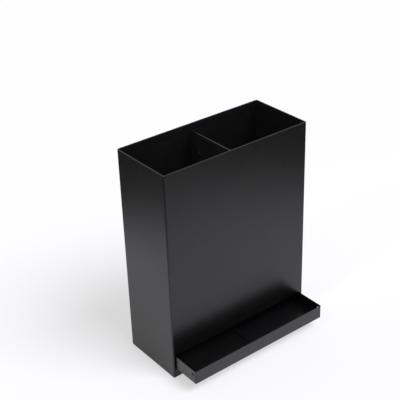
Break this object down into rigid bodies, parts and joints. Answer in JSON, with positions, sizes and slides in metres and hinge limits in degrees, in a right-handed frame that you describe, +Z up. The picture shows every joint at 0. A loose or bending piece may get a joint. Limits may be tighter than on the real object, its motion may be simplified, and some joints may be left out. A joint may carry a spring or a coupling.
{
  "type": "umbrella stand",
  "caption": "Slim open-topped sheet-steel umbrella stand with a deep well for long umbrellas, a raised well for compact ones and a pull-out drip tray.",
  "frame": {"origin": "on the floor, at the middle of the rectangle that the stand covers with its tray drawn out as at rest", "axes": "+Z up, -Y out of the front where the tray draws out, +X to the right seen from the front"},
  "size_m": [0.305, 0.186, 0.4],
  "materials": {
    "coated_steel": "black satin powder coat with a fine texture",
    "rivet": "black, semi-gloss",
    "foot_rubber": "matt"
  },
  "bodies": {
    "body": {"body_wrap": "coated_steel", "back_panel": "coated_steel", "base_plate": "coated_steel", "divider": "coated_steel", "compact_shelf": "coated_steel", "divider_rivets": "rivet", "foot_front_left": "foot_rubber", "foot_back_left": "foot_rubber", "foot_front_right": "foot_rubber", "foot_back_right": "foot_rubber"},
    "tray": {"drip_tray": "coated_steel"}
  },
  "joints": [
    {"name": "tray_slide", "type": "slide", "parent": "body", "child": "tray", "axis": [0, -1, 0], "range_m": [-0.056, 0.06]}
  ]
}
